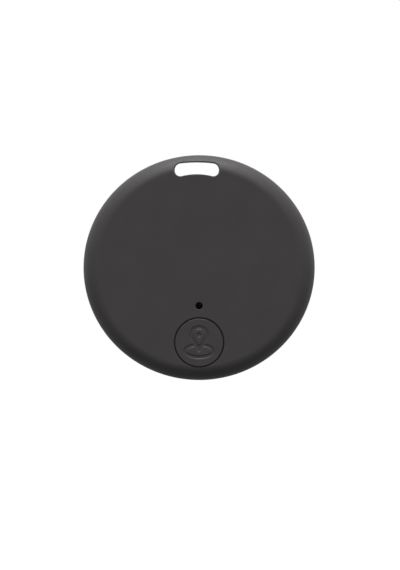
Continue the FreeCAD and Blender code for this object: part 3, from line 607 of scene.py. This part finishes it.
@dataclass
class PushButton:
    """The button cap with its softly engraved location sign.

    Attributes:
        radius: radius of the cap.
        edge_round: radius of its outer edge.
        flange_radius: radius of the flange that keeps it in.
        flange_depth: height of the flange.
        nub_radius: radius of the nub that presses the switch.
        nub_height: height of the nub.
        sign_depth: depth of the engraving.
        sign_slope: width of the engraving's sloping walls.
        pin_radius: radius of the map pin's head.
        pin_length: distance from the head's centre to the tip.
        tip_round: radius of the tip.
        pin_line: width of the pin's line.
        pin_centre: height of the head's centre above the button's.
        eye_radius: radius of the dot in the pin.
        ground_centre: height of the ground ring's centre.
        ground_outer: half width and half height of the ring's outer edge.
        ground_inner: half width and half height of its inner edge.
        count: points across the cap's face.
    """

    radius: float = 4.15
    edge_round: float = 0.15
    flange_radius: float = 4.9
    flange_depth: float = 0.3
    nub_radius: float = 1.0
    nub_height: float = 0.12
    sign_depth: float = 0.13
    sign_slope: float = 0.22
    pin_radius: float = 1.63
    pin_length: float = 2.9
    tip_round: float = 0.3
    pin_line: float = 0.6
    pin_centre: float = 1.3
    eye_radius: float = 0.38
    ground_centre: float = -1.46
    ground_outer: PlanPoint = (2.65, 1.33)
    ground_inner: PlanPoint = (2.15, 0.8)
    count: int = 221

    def pin_distance(self, x: Points, z: Points, inset: float) -> Points:
        """Distance outside a map pin drawn smaller by inset.

        Args:
            x: points across the cap.
            z: points up the cap.
            inset: how far the outline is drawn in.

        Returns:
            Distance to the outline, negative inside.
        """
        radius = self.pin_radius - inset - self.tip_round
        taper = (self.pin_length - self.tip_round) / (self.pin_radius - self.tip_round)
        length = radius * taper
        slope = radius / length
        across, up = np.abs(x), self.pin_centre - z
        rise = math.sqrt(1 - slope**2)
        along = -slope * across + rise * up
        head = np.hypot(across, up) - radius
        flank = across * rise + up * slope - radius
        tip = np.hypot(across, up - length)
        beyond = along > rise * length
        return np.where(along < 0, head, np.where(beyond, tip, flank)) - self.tip_round

    def ellipse_distance(self, x: Points, z: Points, radii: PlanPoint) -> Points:
        """Near distance outside an ellipse on the ground, with the arguments and return of pin_distance."""
        u, v = x / radii[0], (z - self.ground_centre) / radii[1]
        level = np.hypot(u, v)
        steep = np.hypot(u / radii[0], v / radii[1]) + 1e-9
        return level * (level - 1) / steep

    def sign_height(self, x: Points, z: Points) -> Points:
        """How deep the engraving is at each point, in millimetres."""
        pin = self.pin_distance(x, z, 0)
        line = np.maximum(pin, -self.pin_distance(x, z, self.pin_line))
        eye = np.hypot(x, z - self.pin_centre) - self.eye_radius
        outer = self.ellipse_distance(x, z, self.ground_outer)
        ground = np.maximum(np.maximum(outer, -self.ellipse_distance(x, z, self.ground_inner)), -pin)
        distance = np.minimum(np.minimum(line, eye), ground)
        share = np.clip(0.5 - distance / self.sign_slope, 0, 1)
        return self.sign_depth * share * share * (3 - 2 * share)

    def build(self) -> None:
        """Cap with a dense face, rounded edge, flange and nub."""
        low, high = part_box("button_cap")
        face, rear = low.y / MM, high.y / MM
        flange_rear = rear - self.nub_height
        flange_front = flange_rear - self.flange_depth
        flat_z = low.z / MM
        centre_z = high.z / MM - self.flange_radius
        line = np.linspace(-1, 1, self.count)
        u, v = np.meshgrid(line, line)
        flat_radius = self.radius - self.edge_round
        x = u * np.sqrt(1 - v**2 / 2) * flat_radius
        z = v * np.sqrt(1 - u**2 / 2) * flat_radius
        y = face + self.sign_height(x, z)
        n = self.count
        points = list(zip(x.ravel(), y.ravel(), z.ravel() + centre_z))
        faces = grid_faces(n, n)
        edge = list(range(n)) + [i * n + n - 1 for i in range(1, n)]
        edge += [(n - 1) * n + j for j in range(n - 2, -1, -1)] + [i * n for i in range(n - 2, 0, -1)]
        directions = [Vector((points[i][0], points[i][2] - centre_z)).normalized() for i in edge]
        steps = [math.radians(18 * k) for k in range(1, 6)]
        profile = [
            (flat_radius + self.edge_round * math.sin(t), face + self.edge_round * (1 - math.cos(t)))
            for t in steps
        ]
        profile += [(self.radius, flange_front), (self.flange_radius, flange_front)]
        profile += [(self.flange_radius, flange_rear), (self.nub_radius, flange_rear)]
        profile.append((self.nub_radius, rear))
        previous = edge
        for radius, height in profile:
            start = len(points)
            points += [(radius * d.x, height, max(centre_z + radius * d.y, flat_z)) for d in directions]
            ring = list(range(start, len(points)))
            faces += [(previous[i], previous[j], ring[j], ring[i]) for i, j in neighbours(len(ring), True)]
            previous = ring
        faces.append(tuple(previous))
        make_piece(
            "button_cap_moulding", points, faces, WORN_SOFT_TOUCH_ABS, Body.BUTTON, "button_plastic",
            replaces=["button_cap"],
        )


@dataclass
class SoundPort:
    """Dust mesh behind the sound hole, and the buzzer under it.

    Attributes:
        thread: thickness of a thread.
        pitch: distance between threads.
    """

    thread: float = 0.055
    pitch: float = 0.075

    def build(self) -> None:
        """Plain weave of round threads, cut to a disc."""
        low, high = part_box("sound_mesh")
        radius = (high.x - low.x) / MM / 2
        x0, z0 = (low.x + high.x) / MM / 2, (low.z + high.z) / MM / 2
        level = (low.y + high.y) / MM / 2
        rows = int(radius / self.pitch)
        weave = MeshPile()
        for i in range(-rows, rows + 1):
            across = i * self.pitch
            half = math.sqrt(max(radius**2 - across**2, 0.01))
            along = np.linspace(-half, half, 4 * int(2 * half / self.pitch) + 5)
            for warp in (False, True):
                sign = (-1) ** i * (1 if warp else -1)
                lift = sign * self.thread * 0.5 * np.cos(along / self.pitch * math.pi)
                across_all = np.full_like(along, across)
                x, z = (across_all, along) if warp else (along, across_all)
                weave.add_tube(np.column_stack([x + x0, lift + level, z + z0]), self.thread / 2, 6)
        weave.piece("sound_mesh_weave", BLACK_MONOFILAMENT, Body.CASE, "mesh_fabric", replaces=["sound_mesh"])

    def dress(self) -> None:
        """Finish the buzzer's stack."""
        dress_nodes(
            {
                "buzzer_tape_ring": FOAM_TAPE,
                "buzzer_plate": ROLLED_BRASS,
                "buzzer_ceramic": SILVERED_CERAMIC,
                "buzzer_contacts": ROLLED_SPRING_STEEL,
            }
        )


@dataclass
class TactileSwitch:
    """The click switch under the button."""

    def dress(self) -> None:
        """Finish its five pieces."""
        dress_nodes(
            {
                "switch_base": GLASS_FILLED_NYLON,
                "switch_frame": TINNED_LID,
                "switch_plunger": MOULDED_ACETAL,
                "switch_dome": ROLLED_SPRING_STEEL,
                "switch_terminals": REFLOWED_SOLDER,
            }
        )


@dataclass
class CoinCell:
    """The coin cell with its cradle and contacts."""

    def dress(self) -> None:
        """Finish the cell and what holds it."""
        dress_nodes(
            {
                "cell_can": DRAWN_NICKEL_STEEL,
                "cell_gasket": MOULDED_POLYPROPYLENE,
                "cell_cap": DRAWN_NICKEL_STEEL,
                "cell_core": PRESSED_POWDER,
                "cell_cradle": GLASS_FILLED_NYLON,
                "positive_contact": ROLLED_SPRING_STEEL,
                "negative_contact": ROLLED_SPRING_STEEL,
            }
        )


@dataclass
class Board:
    """Circuit board with its copper, legend, solder and soldered parts.

    Attributes:
        track_width: width of a signal track.
        track_height: how far a track lifts the solder mask.
        via_radius: outer radius of a plated hole.
        via_profile: section of its rim, as (share of the radius, height) points.
        sunk: how far everything drawn on the board reaches into it.
        ink_height: thickness of the legend.
        ink_line: width of the legend's lines.
        chip_end: distance from a small part's middle to its end.
        chip_half_width: half the width of its end.
        fillet_run: how far solder spreads past its end.
        fillet_share: how far solder climbs its end, as a share of its height.
        ring_radius: radius of the printed ring round the cell.
        cell_z: height of the cell's centre.
        coil_core: radius of the inductor's core.
        coil_flange: height of each of its flanges.
        coil_wire: radius of its wire.
        coil_turns: turns in each of its two layers.
        tracks: routes as (x, z) points.
        vias: centres of plated holes.
        chips: (x, z, degrees, height) of each small two-ended part.
    """

    track_width: float = 0.2
    track_height: float = 0.03
    via_radius: float = 0.3
    via_profile: tuple[PlanPoint, ...] = ((1.0, -0.01), (0.95, 0.025), (0.5, 0.03), (0.45, -0.01))
    sunk: float = 0.01
    ink_height: float = 0.012
    ink_line: float = 0.12
    chip_end: float = 0.8
    chip_half_width: float = 0.4
    fillet_run: float = 0.3
    fillet_share: float = 0.6
    ring_radius: float = 11.5
    cell_z: float = -1.0
    coil_core: float = 1.25
    coil_flange: float = 0.33
    coil_wire: float = 0.055
    coil_turns: int = 4
    tracks: tuple[tuple[PlanPoint, ...], ...] = (
        ((-12.9, 3.4), (-12.9, 4.2), (-13.1, 4.9)),
        ((-11.5, 4.9), (-10.3, 6.1), (-10.3, 9.4), (-8.1, 11.6)),
        ((-14.6, -0.4), (-14.6, -1.8)),
        ((-13.6, -0.4), (-13.6, -1.8)),
        ((-12.2, 2.9), (-11.3, 2.9), (-10.6, 2.2)),
        ((-12.2, 2.3), (-11.4, 2.3), (-10.7, 1.6)),
        ((-12.2, 1.7), (-11.5, 1.7), (-10.8, 1.0)),
        ((-12.2, 1.1), (-11.6, 1.1), (-10.9, 0.4)),
        ((-12.2, 0.5), (-11.6, 0.5), (-10.9, -0.2)),
        ((-15.4, 4.7), (-16.2, 3.9), (-16.2, 1.0)),
        ((-14.8, -5.3), (-14.8, -4.9)),
        ((-15.3, -6.9), (-14.4, -8.6), (-13.6, -9.4), (-12.8, -10.1)),
        ((-11.6, -5.4), (-10.6, -6.4), (-9.3, -7.7)),
        ((-11.25, -10.9), (-9.9, -9.5), (-8.9, -8.5)),
        ((12.4, 1.0), (13.2, 1.8), (13.6, 1.8)),
        ((15.6, 1.6), (15.6, 0.4), (14.2, -1.0)),
        ((13.6, 3.4), (13.6, 5.0), (12.9, 5.7)),
        ((14.3, -4.3), (14.0, -3.8)),
        ((13.8, -5.2), (14.3, -5.7)),
        ((10.8, -11.2), (8.8, -13.2), (3.9, -13.9)),
        ((12.0, -10.0), (13.4, -8.9), (13.9, -6.6), (15.1, -5.7)),
        ((8.4, 11.2), (8.4, 9.4), (7.6, 8.6)),
        ((9.2, 11.1), (8.4, 11.2)),
        ((10.6, 11.7), (11.6, 10.7), (11.6, 9.9)),
        ((-3.6, -13.4), (-3.6, -12.6), (-4.1, -12.0)),
        ((-2.2, -13.4), (-2.2, -12.2)),
        ((-0.8, -13.4), (-0.8, -12.2)),
        ((0.6, -13.4), (0.6, -12.2)),
        ((2.0, -13.4), (2.0, -12.2)),
        ((3.4, -13.4), (3.4, -12.6), (3.9, -12.0)),
    )
    vias: tuple[PlanPoint, ...] = (
        (-16.2, 0.6), (-9.6, 7.6), (-7.4, 9.8), (7.2, 8.4), (12.6, 6.1), (14.6, 7.0), (-14.8, 6.2),
        (-15.9, -1.2), (-10.9, -7.0), (-13.9, -11.0), (14.9, -1.7), (16.0, -2.8), (9.3, -11.9), (5.9, -14.6),
        (-5.6, -14.8), (0.0, -15.6), (-12.0, 10.9), (11.2, 12.6), (13.4, 9.9), (-6.4, -13.3),
    )
    chips: tuple[tuple[float, float, float, float], ...] = (
        (-12.3, 4.9, 0, 0.7), (-14.6, 4.7, 0, 0.7), (-11.7, -4.6, 80, 0.7), (13.6, 2.6, 90, 0.7),
        (14.7, -5.0, 60, 0.7), (9.9, 11.4, 25, 0.7), (-15.0, -6.1, 65, 0.4), (13.4, -4.5, 60, 0.4),
        (8.4, 12.0, 90, 0.4), (11.4, -10.6, -45, 0.4), (15.6, 2.4, 90, 0.4),
    )

    def surface(self) -> float:
        """Height of the board's rear face, in millimetres."""
        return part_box("circuit_board")[1].y / MM

    def turned(self, x: float, z: float, degrees: float) -> Callable[[float, float], PlanPoint]:
        """Turn plan points about +Y and move them.

        Args:
            x: where the origin goes.
            z: where the origin goes.
            degrees: turn about +Y.

        Returns:
            A function from a local (x, z) to the board's.
        """
        cosine, sine = math.cos(math.radians(degrees)), math.sin(math.radians(degrees))
        return lambda a, b: (x + a * cosine + b * sine, z - a * sine + b * cosine)

    def build_tracks(self) -> None:
        """Copper tracks under the mask, and the plated holes."""
        foot = self.surface()
        copper = MeshPile()
        for route in self.tracks:
            copper.add_ribbon(route, self.track_width, foot - self.sunk, foot + self.track_height)
        copper.piece("board_tracks", MASKED_TRACK, Body.CASE, "board_laminate")
        rings = MeshPile()
        turns = [2 * math.pi * k / 20 for k in range(20)]
        for x, z in self.vias:
            loops = []
            for share, height in self.via_profile:
                reach = self.via_radius * share
                loop = [(x + reach * math.cos(t), foot + height, z + reach * math.sin(t)) for t in turns]
                loops.append(loop)
            faces = grid_faces(len(loops), len(turns), loop_rows=True, loop_columns=True)
            rings.add([p for loop in loops for p in loop], faces)
        rings.piece("plated_holes", IMMERSION_GOLD, Body.CASE, "gold_copper")

    def build_legend(self) -> None:
        """Printed outlines round the parts and a plus at the cell's positive clip."""
        foot = self.surface()
        low, high = foot - self.sunk, foot + self.ink_height
        thin, bold = 0.1, 0.16
        ink = MeshPile()
        for x, z, degrees, _ in self.chips:
            place = self.turned(x, z, degrees)
            for side in (-1, 1):
                ink.add_ribbon([place(-0.45, side * 0.62), place(0.45, side * 0.62)], thin, low, high)
        corner = self.turned(-14.1, 1.5, 0)
        for sx in (-1, 1):
            for sz in (-1, 1):
                bend = [corner(sx * 2.3, sz * 1.6), corner(sx * 2.3, sz * 2.3), corner(sx * 1.6, sz * 2.3)]
                ink.add_ribbon(bend, self.ink_line, low, high)
        ink.add_ribbon([(12.0, -3.6), (13.2, -3.6)], bold, low, high)
        ink.add_ribbon([(12.6, -3.0), (12.6, -3.52)], bold, low, high)
        ink.add_ribbon([(12.6, -3.68), (12.6, -4.2)], bold, low, high)
        for start, end in ((20, 100), (200, 232), (282, 330)):
            arc = [math.radians(a) for a in range(start, end + 1, 4)]
            about_cell = self.turned(0.0, self.cell_z, 0)
            ring = [about_cell(self.ring_radius * math.cos(t), self.ring_radius * math.sin(t)) for t in arc]
            ink.add_ribbon(ring, self.ink_line, low, high)
        ink.piece("board_legend", LEGEND_INK, Body.CASE, "white_ceramic")

    def build_solder(self) -> None:
        """Solder fillets at both ends of every small part, and their pads."""
        foot = self.surface()
        solder = MeshPile()
        steps = [math.radians(90 * k / 5) for k in range(6)]
        for x, z, degrees, height in self.chips:
            place = self.turned(x, z, degrees)
            for side in (-1, 1):
                rise, run = height * self.fillet_share, self.fillet_run
                end, inside, below = self.chip_end, self.chip_end - self.sunk, foot - self.sunk
                curve = [(end + run * (1 - math.sin(t)), foot + rise * (1 - math.cos(t))) for t in steps]
                section = [(inside, below), (end + run, below), *curve, (inside, foot + rise)]
                count = len(section)
                points = []
                for width in (-self.chip_half_width, self.chip_half_width):
                    for along, level in section:
                        px, pz = place(side * along, width)
                        points.append((px, level, pz))
                faces: Faces = [tuple(range(count)), tuple(range(2 * count - 1, count - 1, -1))]
                faces += [(i, count + i, count + j, j) for i, j in neighbours(count, True)]
                solder.add(points, faces)
        solder.piece("solder_fillets", REFLOWED_SOLDER, Body.CASE, "tin_plate", crease_deg=60.0)

    def build_coil(self) -> None:
        """Copper winding between the inductor's flanges."""
        low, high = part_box("boost_inductor")
        x, z = (low.x + high.x) / MM / 2, (low.z + high.z) / MM / 2
        front, rear = low.y / MM + self.coil_flange, high.y / MM - self.coil_flange
        wire, turns = self.coil_wire, self.coil_turns
        winding = MeshPile()
        # The second layer nests in the grooves of the first.
        for layer in range(2):
            radius = self.coil_core + wire * (1.02 + layer * 1.8)
            angle = np.linspace(0, turns * 2 * math.pi, turns * 40)
            height = np.linspace(front + wire, rear - wire, len(angle))
            path = np.column_stack([x + radius * np.cos(angle), height, z + radius * np.sin(angle)])
            winding.add_tube(path, wire, 8)
        winding.piece("inductor_winding", ENAMELLED_COPPER, Body.CASE, "gold_copper")

    def build(self) -> None:
        """Everything drawn, printed or soldered on the board."""
        self.build_tracks()
        self.build_legend()
        self.build_solder()
        self.build_coil()

    def dress(self) -> None:
        """Finish the board and its parts."""
        dress_nodes(
            {
                "circuit_board": SOLDER_MASK,
                "board_screws": ZINC_PLATED_STEEL,
                "antenna_trace": IMMERSION_GOLD,
                "test_pads": IMMERSION_GOLD,
                "bluetooth_chip": MOULDED_EPOXY,
                "crystal_base": FIRED_ALUMINA,
                "crystal_lid": TINNED_LID,
                "capacitor_bodies": FIRED_TITANATE,
                "resistor_bodies": GLAZED_RESISTOR,
                "component_end_caps": REFLOWED_SOLDER,
                "boost_inductor": PRESSED_FERRITE,
                "drive_transistor": MOULDED_EPOXY,
                "transistor_legs": REFLOWED_SOLDER,
            }
        )


# --- studio ---------------------------------------------------------------------------------------


@dataclass
class Studio:
    """Pale floor, soft lights, white surround and the camera.

    Attributes:
        camera_distance: how far the camera stands in front of the tag, in metres.
        frame_height_mm: height of what the camera sees at the tag.
        aim_mm: (x, z) of the view's centre.
        floor_drop: how far the floor lies under the tag, in metres.
        floor_half: half the floor's width, in metres.
        floor_glow: how far the floor shines by itself, so that it looks as white as the surround.
        glow_below: brightness of the surround straight down.
        glow_above: brightness of the surround straight up.
        softbox_size: width and height of each light, in metres.
        key_place: where the light above the camera stands, in metres.
        key_watts: its power.
        rim_place: where the light above and behind the tag stands, in metres.
        rim_watts: its power.
    """

    camera_distance: float = 1.0
    frame_height_mm: float = 98.6
    aim_mm: PlanPoint = (0.153, -3.008)
    floor_drop: float = 0.06
    floor_half: float = 3.0
    floor_glow: float = 0.85
    glow_below: float = 0.1
    glow_above: float = 0.79
    softbox_size: PlanPoint = (0.4, 0.24)
    key_place: tuple[float, float, float] = (0.0, -0.35, 0.606)
    key_watts: float = 1.85
    rim_place: tuple[float, float, float] = (0.0, 0.084, 0.594)
    rim_watts: float = 1.63

    def add_softbox(self, name: str, place: Sequence[float], watts: float) -> None:
        """Add a soft rectangular light that looks at the tag.

        Args:
            name: the light's name.
            place: where it stands, in metres.
            watts: its power.
        """
        lamp = bpy.data.lights.new(name, "AREA")
        lamp.shape = "RECTANGLE"
        lamp.size, lamp.size_y = self.softbox_size
        lamp.energy = watts
        holder = bpy.data.objects.new(name, lamp)
        holder.location = place
        holder.rotation_euler = (-Vector(place)).to_track_quat("-Z", "Y").to_euler()
        holder.visible_camera = False
        bpy.context.scene.collection.objects.link(holder)

    def build_world(self) -> None:
        """White surround for the eye, dim even light for the tag."""
        world = bpy.data.worlds.new("studio_surround")
        bpy.context.scene.world = world
        world.use_nodes = True
        tree = world.node_tree
        tree.nodes.clear()
        upward = add_node(tree, "ShaderNodeTexCoord").outputs["Generated"]
        height = add_node(tree, "ShaderNodeSeparateXYZ", {"Vector": upward}).outputs["Z"]
        strength = add_node(
            tree,
            "ShaderNodeMapRange",
            {
                "Value": height,
                "From Min": -1.0,
                "From Max": 1.0,
                "To Min": self.glow_below,
                "To Max": self.glow_above,
            },
        )
        even = {"Color": linear("#FFFFFF")}
        dim = add_node(tree, "ShaderNodeBackground", even | {"Strength": strength.outputs["Result"]})
        white = add_node(tree, "ShaderNodeBackground", even | {"Strength": 1.0})
        seen = add_node(tree, "ShaderNodeLightPath").outputs["Is Camera Ray"]
        mixed = add_node(tree, "ShaderNodeMixShader", {0: seen, 1: dim.outputs[0], 2: white.outputs[0]})
        add_node(tree, "ShaderNodeOutputWorld", {"Surface": mixed.outputs[0]})

    def build_floor(self) -> None:
        """A plain pale floor well below the tag."""
        half, level = self.floor_half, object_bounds()[0].z - self.floor_drop
        mesh = bpy.data.meshes.new("studio_floor")
        corners = [(-half, -half, level), (half, -half, level), (half, half, level), (-half, half, level)]
        mesh.from_pydata(corners, [], [(0, 1, 2, 3)])
        paper = bpy.data.materials.new("Matt white paper")
        paper.use_nodes = True
        shader = paper.node_tree.nodes["Principled BSDF"]
        shader.inputs["Base Color"].default_value = linear("#FAFAFA")
        shader.inputs["Roughness"].default_value = 0.9
        shader.inputs["Emission Color"].default_value = linear("#FFFFFF")
        shader.inputs["Emission Strength"].default_value = self.floor_glow
        mesh.materials.append(paper)
        floor = bpy.data.objects.new("studio_floor", mesh)
        floor.visible_diffuse = False
        floor.visible_glossy = False
        bpy.context.scene.collection.objects.link(floor)
        floor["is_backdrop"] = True

    def build_camera(self) -> None:
        """Long lens square on to the button face."""
        lens = bpy.data.cameras.new("front_camera")
        lens.sensor_width = 36.0
        lens.lens = lens.sensor_width * self.camera_distance / (self.frame_height_mm * MM)
        lens.clip_start, lens.clip_end = 0.05, 20.0
        camera = bpy.data.objects.new("front_camera", lens)
        camera.location = (self.aim_mm[0] * MM, -self.camera_distance, self.aim_mm[1] * MM)
        camera.rotation_euler = (math.radians(90), 0, 0)
        bpy.context.scene.collection.objects.link(camera)
        bpy.context.scene.camera = camera

    def build(self) -> None:
        """Set up the whole studio."""
        self.build_world()
        self.build_floor()
        self.build_camera()
        self.add_softbox("key_softbox", self.key_place, self.key_watts)
        self.add_softbox("rim_softbox", self.rim_place, self.rim_watts)
        bpy.context.scene.view_settings.view_transform = "Standard"


def main() -> None:
    """Build and dress every piece, then light the scene."""
    logging.basicConfig(level=logging.INFO, format="%(message)s")
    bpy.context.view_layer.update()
    for part in (Case(), PushButton(), SoundPort(), TactileSwitch(), CoinCell(), Board()):
        for step in ("build", "dress"):
            if hasattr(part, step):
                getattr(part, step)()
        LOG.info("%s ready", type(part).__name__)
    Studio().build()


if __name__ == "__main__":
    main()
